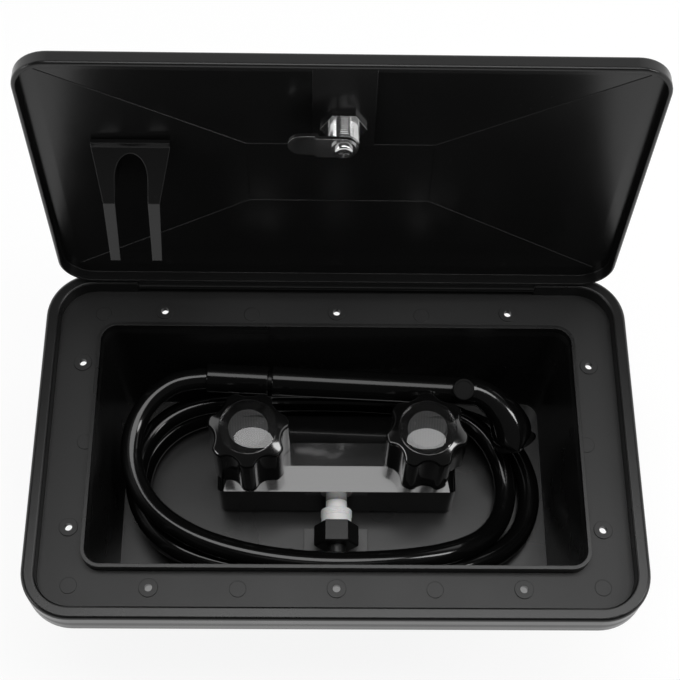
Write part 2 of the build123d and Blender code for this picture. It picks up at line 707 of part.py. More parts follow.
for side, x, first_flute in inlets:
    # Threaded inlet shank through the floor of the well
    with BuildPart() as shank:
        with BuildSketch(Plane.XY.offset(deck_top + inlet_thread_depth)):
            with Locations((x, faucet_y)):
                Circle(inlet_radius)
                Circle(inlet_bore, mode=Mode.SUBTRACT)
        extrude(amount=locknut_bottom - deck_top - inlet_thread_depth)
        with BuildSketch(Plane.XY.offset(locknut_bottom)):
            with Locations((x, faucet_y)):
                Circle(inlet_end_radius)
                Circle(inlet_bore, mode=Mode.SUBTRACT)
        extrude(amount=-inlet_length + floor_washer_thickness + locknut_height)
        chamfer(shank.edges().group_by(Axis.Z)[0].sort_by(SortBy.RADIUS)[-1], inlet_chamfer)
    shank.part.label = f"inlet_shank_{side}"
    export_step(shank.part, f"parts/inlet_shank_{side}.step")

    with BuildPart() as floor_washer:
        with BuildSketch(Plane.XY.offset(well_floor - floor_thickness)):
            with Locations((x, faucet_y)):
                Circle(floor_washer_radius)
                Circle(inlet_radius, mode=Mode.SUBTRACT)
        extrude(amount=-floor_washer_thickness)
    floor_washer.part.label = f"floor_washer_{side}"
    export_step(floor_washer.part, f"parts/floor_washer_{side}.step")

    with BuildPart() as locknut:
        with BuildSketch(Plane.XY.offset(well_floor - floor_thickness - floor_washer_thickness)):
            with Locations((x, faucet_y)):
                RegularPolygon(locknut_flats / 2, 6, major_radius=False)
                Circle(inlet_radius, mode=Mode.SUBTRACT)
        extrude(amount=-locknut_height)
    locknut.part.label = f"locknut_{side}"
    export_step(locknut.part, f"parts/locknut_{side}.step")

    # Valve bonnet in the body's bore, with the stem running through it
    with BuildPart() as bonnet:
        with BuildSketch(Plane.XY.offset(valve_floor)):
            with Locations((x, faucet_y)):
                Circle(valve_bore)
        extrude(amount=faucet_top - valve_floor)
        with BuildSketch(Plane.XY.offset(faucet_top)):
            with Locations((x, faucet_y)):
                RegularPolygon(bonnet_hex / 2, 6, major_radius=False)
        extrude(amount=bonnet_top - faucet_top)
        with BuildSketch(Plane.XY.offset(valve_floor)):
            with Locations((x, faucet_y)):
                Circle(stem_radius + running_gap)
        extrude(amount=bonnet_top - valve_floor, mode=Mode.SUBTRACT)
        with BuildSketch(Plane.XY.offset(bonnet_top)):
            with Locations((x, faucet_y)):
                Circle(stem_radius + stem_seal_width)
        extrude(amount=-stem_seal_height, mode=Mode.SUBTRACT)
    bonnet.part.label = f"valve_bonnet_{side}"
    export_step(bonnet.part, f"parts/valve_bonnet_{side}.step")

    with BuildPart() as stem_seal:
        with BuildSketch(Plane.XY.offset(bonnet_top)):
            with Locations((x, faucet_y)):
                Circle(stem_radius + stem_seal_width)
                Circle(stem_radius + running_gap, mode=Mode.SUBTRACT)
        extrude(amount=-stem_seal_height)
    stem_seal.part.label = f"stem_seal_{side}"
    export_step(stem_seal.part, f"parts/stem_seal_{side}.step")

    with BuildPart() as stem:
        with BuildSketch(Plane.XY.offset(valve_floor)):
            with Locations((x, faucet_y)):
                Circle(stem_radius)
        extrude(amount=stem_top - valve_floor)
        with BuildSketch(Plane.XY.offset(stem_top)):
            with Locations((x, faucet_y)):
                Circle(knob_screw_radius)
        extrude(amount=-knob_screw_hole_depth, mode=Mode.SUBTRACT)
    stem.part.label = f"valve_stem_{side}"
    export_step(stem.part, f"parts/valve_stem_{side}.step")

    # Fluted knob, hollow underneath, with a hub on the stem
    with BuildPart() as knob:
        with BuildSketch(Plane.XY.offset(knob_bottom)):
            with Locations((x, faucet_y)):
                Circle(knob_radius)
                with PolarLocations(flute_circle_radius, knob_lobes, start_angle=first_flute):
                    Circle(flute_radius, mode=Mode.SUBTRACT)
        extrude(amount=knob_top - knob_bottom)
        fillet(knob.edges().filter_by(Axis.Z), knob_flute_fillet)
        with Locations((x, faucet_y, knob_dome_z)):
            Sphere(knob_dome_radius, mode=Mode.INTERSECT)
        fillet(knob.faces().filter_by(GeomType.SPHERE)[0].outer_wire().edges(), knob_top_fillet)
        with BuildSketch(Plane.XY.offset(knob_bottom)):
            with Locations((x, faucet_y)):
                Circle(knob_cavity)
                Circle(knob_hub, mode=Mode.SUBTRACT)
        extrude(amount=knob_top - knob_plate - knob_bottom, mode=Mode.SUBTRACT)
        with BuildSketch(Plane.XY.offset(knob_bottom)):
            with Locations((x, faucet_y)):
                Circle(knob_hub)
        extrude(amount=bonnet_top + knob_hub_clearance - knob_bottom, mode=Mode.SUBTRACT)
        with BuildSketch(Plane.XY.offset(knob_bottom)):
            with Locations((x, faucet_y)):
                Circle(stem_radius)
        extrude(amount=stem_top - knob_bottom, mode=Mode.SUBTRACT)
        with BuildSketch(Plane.XY.offset(stem_top)):
            with Locations((x, faucet_y)):
                Circle(knob_screw_radius)
        extrude(amount=-stem_top, mode=Mode.SUBTRACT)
        with BuildSketch(Plane.XY.offset(knob_top - cap_edge)):
            with Locations((x, faucet_y)):
                Circle(cap_radius)
        extrude(amount=cap_edge, mode=Mode.SUBTRACT)
        with BuildSketch(Plane.XY.offset(knob_top - cap_edge)):
            with Locations((x, faucet_y)):
                Circle(index_radius)
        extrude(amount=-index_thickness, mode=Mode.SUBTRACT)
        with BuildSketch(Plane.XY.offset(knob_seat)):
            with Locations((x, faucet_y)):
                Circle(knob_screw_head)
        extrude(amount=-knob_screw_head_height, mode=Mode.SUBTRACT)
    knob.part.label = f"knob_{side}"
    export_step(knob.part, f"parts/knob_{side}.step")

    with BuildPart() as knob_screw:
        with BuildSketch(Plane.XY.offset(knob_seat)):
            with Locations((x, faucet_y)):
                Circle(knob_screw_head)
        extrude(amount=-knob_screw_head_height)
        with BuildSketch(Plane.XY.offset(stem_top - knob_screw_grip)):
            with Locations((x, faucet_y)):
                Circle(knob_screw_radius)
        extrude(amount=knob_seat - knob_screw_head_height - stem_top + knob_screw_grip)
    knob_screw.part.label = f"knob_screw_{side}"
    export_step(knob_screw.part, f"parts/knob_screw_{side}.step")

    with BuildPart() as index:
        with BuildSketch(Plane.XY.offset(knob_seat)):
            with Locations((x, faucet_y)):
                Circle(index_radius)
        extrude(amount=index_thickness)
    index.part.label = f"index_disc_{side}"
    export_step(index.part, f"parts/index_disc_{side}.step")

    # Clear domed cap
    with BuildPart() as cap:
        with BuildSketch(Plane.XY.offset(knob_top - cap_edge)):
            with Locations((x, faucet_y)):
                Circle(cap_radius)
        extrude(amount=cap_edge + cap_rise)
        with Locations((x, faucet_y, knob_top + cap_rise - dome_radius)):
            Sphere(dome_radius, mode=Mode.INTERSECT)
    cap.part.label = f"knob_cap_{side}"
    export_step(cap.part, f"parts/knob_cap_{side}.step")

# Outlet: nylon nipple screwed into the front of the body
neck_end = body_front - outlet_neck_length
thread_end = neck_end - outlet_thread_length
with BuildPart() as outlet_nipple:
    with BuildSketch(Plane.XZ.offset(-body_front - outlet_plug_depth)):
        with Locations((faucet_x, outlet_z)):
            Circle(outlet_plug_radius)
    extrude(amount=outlet_plug_depth)
    with BuildSketch(Plane.XZ.offset(-body_front)):
        with Locations((faucet_x, outlet_z)):
            Circle(outlet_neck_radius)
    extrude(amount=outlet_neck_length)
    with BuildSketch(Plane.XZ.offset(-neck_end)):
        with Locations((faucet_x, outlet_z)):
            Circle(outlet_thread_radius)
    extrude(amount=outlet_thread_length)
    with BuildSketch(Plane.XZ.offset(-body_front - outlet_plug_depth)):
        with Locations((faucet_x, outlet_z)):
            Circle(nipple_bore)
    extrude(amount=outlet_plug_depth + outlet_neck_length + outlet_thread_length,
            mode=Mode.SUBTRACT)
outlet_nipple.part.label = "outlet_nipple"
export_step(outlet_nipple.part, "parts/outlet_nipple.step")

with BuildPart() as hose_washer:
    with BuildSketch(Plane.XZ.offset(-thread_end)):
        with Locations((faucet_x, outlet_z)):
            Circle(outlet_thread_radius)
            Circle(nipple_bore, mode=Mode.SUBTRACT)
    extrude(amount=hose_washer_thickness)
hose_washer.part.label = "hose_washer"
export_step(hose_washer.part, "parts/hose_washer.step")

flange_back = thread_end - hose_washer_thickness
flange_front = flange_back - elbow_flange
nut_end = flange_front - nut_front_wall
with BuildPart() as hose_nut:
    with BuildSketch(Plane.XZ.offset(-nut_end)):
        with Locations((faucet_x, outlet_z)):
            RegularPolygon(nut_flats / 2, 6, major_radius=False)
    extrude(amount=-nut_length)
    chamfer(hose_nut.faces().sort_by(Axis.Y)[0].edges() + hose_nut.faces().sort_by(Axis.Y)[-1].edges(),
            nut_chamfer)
    with BuildSketch(Plane.XZ.offset(-flange_front)):
        with Locations((faucet_x, outlet_z)):
            Circle(outlet_thread_radius)
    extrude(amount=nut_front_wall - nut_length, mode=Mode.SUBTRACT)
    with BuildSketch(Plane.XZ.offset(-nut_end)):
        with Locations((faucet_x, outlet_z)):
            Circle(elbow_radius + coupling_clearance)
    extrude(amount=-nut_front_wall, mode=Mode.SUBTRACT)
hose_nut.part.label = "hose_nut"
export_step(hose_nut.part, "parts/hose_nut.step")

# Elbow tail that turns the hose along the well
elbow_y = route[0][1]
with BuildPart() as hose_elbow:
    with BuildSketch(Plane.XZ.offset(-flange_back)):
        with Locations((faucet_x, outlet_z)):
            Circle(outlet_thread_radius - coupling_clearance)
    extrude(amount=elbow_flange)
    with BuildLine() as elbow_path:
        FilletPolyline((faucet_x, flange_back, outlet_z), (faucet_x, elbow_y, outlet_z),
                       (sleeve_near, elbow_y, outlet_z), radius=elbow_bend)
    with BuildSketch(Plane.XZ.offset(-flange_back)):
        with Locations((faucet_x, outlet_z)):
            Circle(elbow_radius)
    sweep(path=elbow_path.line)
    with BuildSketch(Plane.YZ.offset(sleeve_near)):
        with Locations((elbow_y, outlet_z)):
            Circle(barb_radius)
    extrude(amount=sleeve_far - sleeve_near + barb_short)
    with BuildSketch(Plane.XZ.offset(-flange_back)):
        with Locations((faucet_x, outlet_z)):
            Circle(elbow_bore)
    sweep(path=elbow_path.line, mode=Mode.SUBTRACT)
    with BuildSketch(Plane.YZ.offset(sleeve_near)):
        with Locations((elbow_y, outlet_z)):
            Circle(elbow_bore)
    extrude(amount=sleeve_far - sleeve_near + barb_short, mode=Mode.SUBTRACT)
hose_elbow.part.label = "hose_elbow"
export_step(hose_elbow.part, "parts/hose_elbow.step")

with BuildPart() as faucet_sleeve:
    with BuildSketch(Plane.YZ.offset(sleeve_near)):
        with Locations((elbow_y, outlet_z)):
            Circle(sleeve_radius)
    extrude(amount=sleeve_far - sleeve_near)
    fillet(faucet_sleeve.edges(), sleeve_fillet)
    with BuildSketch(Plane.YZ.offset(sleeve_near)):
        with Locations((elbow_y, outlet_z)):
            Circle(barb_radius)
    extrude(amount=sleeve_far - sleeve_near + barb_short, mode=Mode.SUBTRACT)
faucet_sleeve.part.label = "faucet_sleeve"
export_step(faucet_sleeve.part, "parts/faucet_sleeve.step")

# Hose: straight runs joined by tangent arcs
radii = corner_radii(route)
print("hose radii", [round(radius, 1) for radius in radii])
with BuildPart() as hose:
    with BuildLine() as hose_path:
        FilletPolyline(*route, radius=radii)
    hose_line = hose_path.wires()[0]
    with BuildSketch(Plane(origin=route[0], z_dir=hose_line % 0)):
        Circle(hose_radius)
    sweep(path=hose_line)
print("hose length", round(hose_line.length, 1), "volume over section times length",
      round(hose.part.volume / (hose_line.length * pi * hose_radius ** 2), 4))
hose.part.label = "hose"
export_step(hose.part, "parts/hose.step")

# Handset: hose sleeve, handle, push-through flow button, neck, head and spray face
with BuildPart() as handset_sleeve:
    with BuildSketch(handset_plane(-grip_sleeve_back)):
        Circle(grip_sleeve_radius)
    extrude(amount=grip_sleeve_back + grip_sleeve_front)
    fillet(handset_sleeve.edges(), sleeve_fillet)
    with BuildSketch(handset_plane(-grip_sleeve_back)):
        Circle(hose_radius + grip_sleeve_clearance)
    extrude(amount=grip_sleeve_back, mode=Mode.SUBTRACT)
    with BuildSketch(handset_plane(0)):
        Circle(connector_radius)
    extrude(amount=grip_sleeve_front, mode=Mode.SUBTRACT)
handset_sleeve.part.label = "handset_sleeve"
export_step(handset_sleeve.part, "parts/handset_sleeve.step")

with BuildPart() as handset_connector:
    with BuildSketch(handset_plane(0)):
        Circle(connector_radius)
    extrude(amount=handle_from + handle_joint)
    with BuildSketch(handset_plane(0)):
        Circle(connector_bore)
    extrude(amount=handle_from + handle_joint, mode=Mode.SUBTRACT)
handset_connector.part.label = "handset_connector"
export_step(handset_connector.part, "parts/handset_connector.step")

handset_length = (Vector(*handset_end) - Vector(*handset_start)).length
view_side = Vector(0, -0.35, 0.94).normalized()
button_centre = handset_plane(handset_length).origin
button_plane = Plane(origin=button_centre + view_side * (handle_end_radius + button_proud),
                     x_dir=(1, 0, 0), z_dir=view_side)
with BuildPart() as handset_handle:
    with BuildSketch(handset_plane(handle_from)):
        Circle(handle_radius)
    with BuildSketch(handset_plane(handset_length + handle_overrun)):
        Circle(handle_end_radius)
    loft()
    fillet(handset_handle.faces().sort_by(Axis.X)[0].edges(), handle_fillet)
    with BuildSketch(handset_plane(handle_from)):
        Circle(connector_radius)
    extrude(amount=handle_joint, mode=Mode.SUBTRACT)
    with BuildSketch(handset_plane(handle_from)):
        Circle(connector_bore)
    extrude(amount=handset_length - handle_from + handle_overrun, mode=Mode.SUBTRACT)
    with BuildSketch(button_plane):
        Circle(button_radius + running_gap)
    extrude(amount=-button_length - 2 * button_travel, mode=Mode.SUBTRACT)
handset_handle.part.label = "handset_handle"
export_step(handset_handle.part, "parts/handset_handle.step")

with BuildPart() as flow_button:
    with BuildSketch(button_plane):
        Circle(button_radius)
    extrude(amount=-button_length)
    fillet(flow_button.edges().group_by(Axis.Z)[-1], button_fillet)
    with BuildSketch(button_plane.offset(-handle_end_radius - button_proud - button_waist_height / 2)):
        Circle(button_radius)
        Circle(button_waist, mode=Mode.SUBTRACT)
    extrude(amount=button_waist_height, mode=Mode.SUBTRACT)
    with BuildSketch(button_plane):
        Circle(button_dish_radius)
    extrude(amount=-button_dish_depth, mode=Mode.SUBTRACT)
flow_button.part.label = "flow_button"
export_step(flow_button.part, "parts/flow_button.step")

# Neck and head: circles along a bend from the handle's end to the spray face
head_normal = Vector(*head_direction).normalized()
head_plane = Plane(origin=head_centre, x_dir=(0, 0.7, -0.75), z_dir=head_normal)
neck_stations = [
    (handset_plane(handset_length + handle_overrun).origin, handset_plane(0).z_dir, handle_end_radius),
    (Vector(89.0, 43.8, -24.6), Vector(0.93, -0.32, -0.19), 8.6),
    (Vector(96.5, 38.3, -28.4), Vector(0.76, -0.53, -0.38), 9.8),
    (Vector(102.5, 30.4, -34.2), Vector(0.52, -0.66, -0.54), 12.0),
    (Vector(*head_centre), head_normal, head_radius),
]
with BuildPart() as spray_head:
    for place, direction, radius in neck_stations:
        with BuildSketch(Plane(origin=place, x_dir=(0, 0.7, -0.75), z_dir=direction)):
            Circle(radius)
    loft()
    with BuildSketch(head_plane):
        Circle(head_radius - face_inset)
    extrude(amount=-face_thickness, mode=Mode.SUBTRACT)
spray_head.part.label = "spray_head"
export_step(spray_head.part, "parts/spray_head.step")

with BuildPart() as spray_face:
    with BuildSketch(head_plane):
        Circle(head_radius - face_inset - running_gap)
    extrude(amount=-face_thickness)
    with BuildSketch(head_plane):
        with PolarLocations(spray_inner_radius, 6):
            Circle(spray_hole_radius)
        with PolarLocations(spray_outer_radius, 12):
            Circle(spray_hole_radius)
    extrude(amount=-face_thickness, mode=Mode.SUBTRACT)
spray_face.part.label = "spray_face"
export_step(spray_face.part, "parts/spray_face.step")
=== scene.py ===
# %% [markdown]
# This notebook dresses a recessed shower box for the outside wall of a vehicle. The imported model
# already holds every rigid piece at its real size, so the work here is the finishes, the hose, the
# screw threads, and a camera and light that stand as a product photographer would place them.
# The first step loads that model and keeps its box, which later sets the floor's height.

# %% The frame
import json
import math
import bmesh
import bpy
from mathutils import Matrix, Vector


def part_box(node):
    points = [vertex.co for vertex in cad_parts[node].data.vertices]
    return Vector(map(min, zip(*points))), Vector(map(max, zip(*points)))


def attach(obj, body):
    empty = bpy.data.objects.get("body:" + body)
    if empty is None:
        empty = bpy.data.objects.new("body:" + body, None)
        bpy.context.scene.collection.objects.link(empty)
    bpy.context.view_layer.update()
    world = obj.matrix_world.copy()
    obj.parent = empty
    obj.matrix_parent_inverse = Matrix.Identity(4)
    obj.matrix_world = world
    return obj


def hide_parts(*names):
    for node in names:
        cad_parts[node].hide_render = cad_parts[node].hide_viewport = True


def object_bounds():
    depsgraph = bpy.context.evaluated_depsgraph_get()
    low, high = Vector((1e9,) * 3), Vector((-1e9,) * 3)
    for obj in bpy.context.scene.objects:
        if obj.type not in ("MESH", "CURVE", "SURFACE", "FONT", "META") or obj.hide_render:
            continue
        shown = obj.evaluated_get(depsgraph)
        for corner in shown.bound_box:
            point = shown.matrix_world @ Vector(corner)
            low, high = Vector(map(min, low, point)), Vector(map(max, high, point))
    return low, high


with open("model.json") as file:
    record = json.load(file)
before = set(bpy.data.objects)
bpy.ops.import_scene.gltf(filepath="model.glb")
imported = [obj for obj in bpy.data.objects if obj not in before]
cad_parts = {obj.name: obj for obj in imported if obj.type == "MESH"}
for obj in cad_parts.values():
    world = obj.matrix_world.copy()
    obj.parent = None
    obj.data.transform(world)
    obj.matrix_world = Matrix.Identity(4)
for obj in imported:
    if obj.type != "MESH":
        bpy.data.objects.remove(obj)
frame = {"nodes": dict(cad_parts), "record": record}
cad_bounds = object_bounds()
slot_of_node = {part["node"]: part["material_slot"] for part in frame["record"]["subparts"]}
MM = 0.001

# %% [markdown]
# The camera looks down into the open box from the front, a little from the left, with a long lens.
# Its place and its three angles are set as numbers, and its axes are worked out from them, which is
# plainer than aiming a camera at a target and then rolling it by eye.

# %% Camera
camera_place = Vector((-0.0123, -0.3004, 0.7356))
camera_yaw = math.radians(2.232)
camera_pitch = math.radians(63.35)
camera_roll = math.radians(2.442)
camera_lens = 75.24

forward = Vector((math.sin(camera_yaw) * math.cos(camera_pitch),
                  math.cos(camera_yaw) * math.cos(camera_pitch),
                  -math.sin(camera_pitch)))
level = Vector((math.cos(camera_yaw), -math.sin(camera_yaw), 0))
above = level.cross(forward)
right = level * math.cos(camera_roll) + above * math.sin(camera_roll)
up = above * math.cos(camera_roll) - level * math.sin(camera_roll)

camera = bpy.data.objects.new("camera", bpy.data.cameras.new("camera"))
camera.data.sensor_width = 36
camera.data.lens = camera_lens
camera.data.clip_end = 20
camera_turn = Matrix((right, up, -forward)).transposed().to_4x4()
camera.matrix_world = Matrix.Translation(camera_place) @ camera_turn
bpy.context.scene.collection.objects.link(camera)
bpy.context.scene.camera = camera
print("camera at", [round(value, 3) for value in camera_place])

# %% [markdown]
# The hose is a limp vinyl tube that lies in about two turns round the faucet and ends in the
# handset's sleeve. Its line is a smooth spline whose control points are the same points
# as the tube in the imported model, because a spline relaxes between them as a real hose does. The
# order and the end setting come after the points, or Blender leaves the line as straight runs. The
# radius sits on the points, with a bevel of 1, because the line's bounding box grows by that radius.

# %% Hose
hose_radius = 6.25 * MM
hose_route = [
    (-51, -46, -60), (-77, -46, -60), (-104.5, -31, -67), (-119, -1, -70.5),
    (-111, 31, -70.5), (-84, 51.5, -70.5), (-36, 54.5, -70.5), (22, 54.8, -70.4),
    (80, 52.5, -70.5), (109, 34, -70.4), (119.5, 3, -70.5), (111, -28, -69),
    (82, -48.5, -60), (31, -57, -48.5), (-22, -58.5, -45.5), (-80, -50, -45.5),
    (-108, -30, -48), (-119.5, 2, -50), (-110, 34, -52), (-83, 52.5, -54),
    (-36, 54.8, -56), (20, 55, -57), (70, 50.5, -57.5), (94, 34, -61),
    (104.7, 5.2, -67), (97, -24, -63), (72, -44, -46.5), (28, -54, -35),
    (-24, -55.5, -31), (-72, -45.5, -31), (-103.5, -26.5, -32), (-117.8, -1.5, -31),
    (-118.3, 24, -28.5), (-107, 43.9, -24.8), (-87, 54.87, -22.13), (-62, 53.65, -22.2),
]

hose_line = bpy.data.curves.new("hose_line", "CURVE")
hose_line.dimensions = "3D"
hose_line.bevel_depth = 1.0
hose_line.bevel_resolution = 6
hose_line.resolution_u = 10
hose_line.use_fill_caps = True
spline = hose_line.splines.new("NURBS")
spline.points.add(len(hose_route) - 1)
for point, place in zip(spline.points, hose_route):
    point.co = (*(Vector(place) * MM), 1)
    point.radius = hose_radius
spline.order_u = 3
spline.use_endpoint_u = True
shower_hose = bpy.data.objects.new("shower_hose", hose_line)
bpy.context.scene.collection.objects.link(shower_hose)
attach(shower_hose, "root")
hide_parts("hose")
print("hose with", len(hose_route), "control points")

# %% [markdown]
# Every finish below is a node tree, and long chains of Math nodes are hard to read. So a small class
# wraps a socket and lets Python's own signs add the nodes. A second class holds the material: its
# one method adds any other node, with the settings first and then the values or links.

# %% Shader helpers
class Value:
    """A number somewhere in a material. Working with it adds Math nodes."""

    def __init__(self, finish, socket):
        self.finish = finish
        self.socket = socket

    def math(self, operation, first, second=0.0):
        return self.finish.add("ShaderNodeMath", {"operation": operation}, {0: first, 1: second})

    def __add__(self, other):
        return self.math("ADD", self, other)

    def __radd__(self, other):
        return self.math("ADD", other, self)

    def __sub__(self, other):
        return self.math("SUBTRACT", self, other)

    def __rsub__(self, other):
        return self.math("SUBTRACT", other, self)

    def __mul__(self, other):
        return self.math("MULTIPLY", self, other)

    def __gt__(self, other):
        return self.math("GREATER_THAN", self, other)

    def __lt__(self, other):
        return self.math("LESS_THAN", self, other)

    def sine(self):
        return self.math("SINE", self)

    def maximum(self, other):
        return self.math("MAXIMUM", self, other)

    def clipped(self):
        return self.finish.add("ShaderNodeClamp", {}, {"Value": self})


class Finish:
    """A material with one Principled shader, built a node at a time."""

    def __init__(self, name, **constants):
        self.material = bpy.data.materials.new(name)
        self.material.use_nodes = True
        self.tree = self.material.node_tree
        self.shader = self.tree.nodes["Principled BSDF"]
        self.set(**constants)

    def link(self, socket, value):
        if isinstance(value, Value):
            self.tree.links.new(value.socket, socket)
        else:
            socket.default_value = value

    def set(self, **sockets):
        for name, value in sockets.items():
            self.link(self.shader.inputs[name.replace("_", " ")], value)

    def add(self, kind, settings, inputs, output=0):
        node = self.tree.nodes.new(kind)
        for name, value in settings.items():
            setattr(node, name, value)
        for name, value in inputs.items():
            self.link(node.inputs[name], value)
        return Value(self, node.outputs[output])

    def place(self):
        return self.add("ShaderNodeTexCoord", {}, {}, "Object")

    def noise(self, size, detail=2.0, rough=0.5):
        """Cloudy noise from 0 to 1 whose spots are about size metres across."""
        return self.add("ShaderNodeTexNoise", {},
                        {"Vector": self.place(), "Scale": 1 / size, "Detail": detail,
                         "Roughness": rough})

    def axis(self, name):
        return self.add("ShaderNodeSeparateXYZ", {}, {0: self.place()}, name)

    def mixed(self, share, first, second):
        return self.add("ShaderNodeMix", {"data_type": "RGBA"}, {0: share, 6: first, 7: second}, 2)

    def bump(self, height, distance, strength=1.0, edge=0.0):
        """Relief whose height of 1 stands distance metres proud, over edges softened by edge."""
        inputs = {"Height": height, "Distance": distance, "Strength": strength}
        if edge:
            inputs["Normal"] = self.add("ShaderNodeBevel", {"samples": 4}, {"Radius": edge})
        self.set(Normal=self.add("ShaderNodeBump", {}, inputs))

    def seen_directly(self):
        """1 for what the camera, a mirror or glass sees, and 0 for what lights a dull surface."""
        camera_ray, glossy_ray, clear_ray = [self.add("ShaderNodeLightPath", {}, {}, f"Is {kind} Ray")
                                             for kind in ("Camera", "Glossy", "Transmission")]
        return camera_ray.maximum(glossy_ray).maximum(clear_ray)


def grey(level, alpha=1.0):
    return (level, level, level, alpha)


finishes = {}
print("helpers ready")

# %% [markdown]
# The housing, the lid and the fork are injection-moulded black ABS. The housing has a fine satin
# texture, faint flow clouding where the melt met, and a trace of dust that lies in the texture. The
# lid's inside comes from a polished mould face and is glossier. Colour, roughness and relief each
# get their own noise, at sizes of 45 mm down to half a millimetre, because one noise on all three
# looks printed. The base is far darker than it seems: what shows as dark grey is the reflection.

# %% Moulded plastics
cloud_size = 0.045
dust_share = 0.3


def moulded(name, colour, roughness, grain, depth, edge=0.0004, coat=0.0, specular=0.5):
    """Moulded plastic: grain is the texture's spot size and depth its height, in metres."""
    finish = Finish(name, Coat_Weight=coat, Coat_Roughness=0.05, Specular_IOR_Level=specular)
    cloud = finish.noise(cloud_size, detail=3.0)
    speck = finish.noise(0.0016, detail=1.0)
    dust = ((speck - 0.66) * 6.0).clipped() * cloud
    dusty = grey(colour * 2.2 + 0.008)
    finish.set(Base_Color=finish.mixed(dust * dust_share, grey(colour), dusty))
    finish.set(Roughness=roughness - 0.04 + cloud * 0.08 + dust * 0.1)
    finish.bump(finish.noise(grain, detail=2.0), depth, edge=edge)
    return finish


finishes["lid_plastic"] = moulded("polished_lid", 0.008, 0.21, 0.009, 0.00003, edge=0.0007,
                                  specular=0.42).material
print("lid plastic done")

# %% [markdown]
# The housing's channel is textured by the mould, while its rims, its lip and the inside of the well
# are drawn off polished steel. One material does both: the height in the moulding picks the stretch
# of channel, and there the roughness goes up. The pad under the hose coupling is painted paler, a
# painted reflection of the bright light that the well floor mirrors there, and it is picked out by
# height in the same way.

# %% Housing plastic
channel_heights = (0.006, 0.0105)
channel_roughening = 0.14
# Heights of the pad whose paler colour is a painted reflection of light the well floor mirrors.
painted_reflection_pad_heights = (-0.0765, -0.0748)


def between(value, limits):
    """A mask that is 1 where the value lies between the two limits."""
    return (value > limits[0]) * (value < limits[1])


def housing_plastic():
    finish = moulded("satin_abs", 0.005, 0.3, 0.0007, 0.00002, specular=0.5)
    cloud = finish.noise(cloud_size, detail=3.0)
    height = finish.axis("Z")
    channel = between(height, channel_heights)
    finish.set(Roughness=0.24 + cloud * 0.08 + channel * channel_roughening)
    # Painted reflection: the paler grey on this pad stands in for light the floor mirrors, not for
    # wear.
    painted_reflection_pad = between(height, painted_reflection_pad_heights)
    speck = finish.noise(0.0012, detail=2.0)
    finish.set(Base_Color=finish.mixed(painted_reflection_pad * (0.7 + speck * 0.3), grey(0.0055), grey(0.05)))
    return finish


finishes["box_plastic"] = housing_plastic().material
print("housing plastic done")

# %% [markdown]
# The faucet and the handset are polished black plastic. They mirror the studio, so their relief is
# only the slight waviness that polishing and shrinking leave, and their roughness is low. On the
# faucet a clear coat doubles the mirror without lifting the black. The flow button stands proud of
# the handle, so its matt face is picked out by how far it stands towards the camera. The head shines
# more than the handle, so beyond the button it gets a clear coat too. The nut, the elbow and the
# sleeve at the faucet are plainer nylon.

# %% Polished and coupling plastics
finishes["faucet_plastic"] = moulded("polished_faucet", 0.003, 0.14, 0.012, 0.00002, coat=1.0).material
button_axis_y = -0.35
button_axis_z = 0.94
handle_front = -0.0288
neck_start = 0.08
handset = moulded("polished_handset", 0.003, 0.12, 0.010, 0.00002, specular=0.35)
towards_camera = handset.axis("Z") * button_axis_z + handset.axis("Y") * button_axis_y
button_face = towards_camera > handle_front
handset_cloud = handset.noise(cloud_size, detail=3.0)
handset.set(Roughness=0.1 + handset_cloud * 0.06 + button_face * 0.7)
handset.set(Coat_Weight=handset.axis("X") > neck_start)
finishes["handset_plastic"] = handset.material
finishes["coupling_plastic"] = moulded("nylon_coupling", 0.007, 0.34, 0.0009, 0.00002,
                                       specular=0.4).material
finishes["shank_plastic"] = moulded("thread_plastic", 0.012, 0.42, 0.0009, 0.00003).material
print("polished plastics done")

# %% [markdown]
# Vinyl hose is extruded, so its skin is glossy with a faint long-wave waviness, and the
# reinforcement underneath prints through as a soft unevenness. A broad noise bends the highlight
# a little, as on real hose.

# %% Hose vinyl
def hose_vinyl():
    finish = Finish("hose_vinyl")
    cloud = finish.noise(0.03, detail=3.0)
    finish.set(Base_Color=finish.mixed(cloud, grey(0.003), grey(0.005)))
    finish.set(Roughness=0.08 + cloud * 0.06)
    finish.bump(finish.noise(0.008, detail=3.0), 0.00004)
    return finish.material


finishes["hose_vinyl"] = hose_vinyl()
print("hose vinyl done")

# %% [markdown]
# Chrome, brass and steel are metals, told apart by their colour and by how their polish runs.
# Handled metal is never one even gloss: a soft noise in the roughness gives the rubbed look.

# %% Metals
def metal(name, colour, roughness, variation, grain, depth):
    finish = Finish(name, Metallic=1.0)
    rub = finish.noise(grain, detail=4.0)
    dull = tuple(0.8 * channel for channel in colour[:3]) + (1.0,)
    finish.set(Base_Color=finish.mixed(rub * 0.6, colour, dull))
    finish.set(Roughness=roughness + rub * variation)
    finish.bump(rub, depth, edge=0.0002)
    return finish.material


finishes["lock_chrome"] = metal("lock_chrome", grey(0.72), 0.1, 0.1, 0.006, 0.000008)
finishes["zinc_plate"] = metal("zinc_plated_steel", grey(0.6), 0.12, 0.1, 0.004, 0.000008)
finishes["brass"] = metal("turned_brass", (0.5, 0.34, 0.14, 1), 0.24, 0.15, 0.002, 0.00001)
finishes["steel"] = metal("stainless_steel", grey(0.55), 0.24, 0.15, 0.002, 0.00002)
print("metals done")

# %% [markdown]
# The nipple is white nylon, which lets a little light in, so it gets a touch of subsurface. The
# caps are clear acrylic, and the discs beneath them carry a fine ruled pattern.

# %% Nylon, caps and discs
def white_nylon():
    finish = Finish("white_nylon", Subsurface_Weight=0.15, Subsurface_Scale=0.002)
    cloud = finish.noise(0.004, detail=3.0)
    finish.set(Base_Color=finish.mixed(cloud, grey(0.95), (0.89, 0.89, 0.87, 1)))
    finish.set(Roughness=0.35 + cloud * 0.15)
    finish.bump(finish.noise(0.001), 0.00003)
    return finish.material


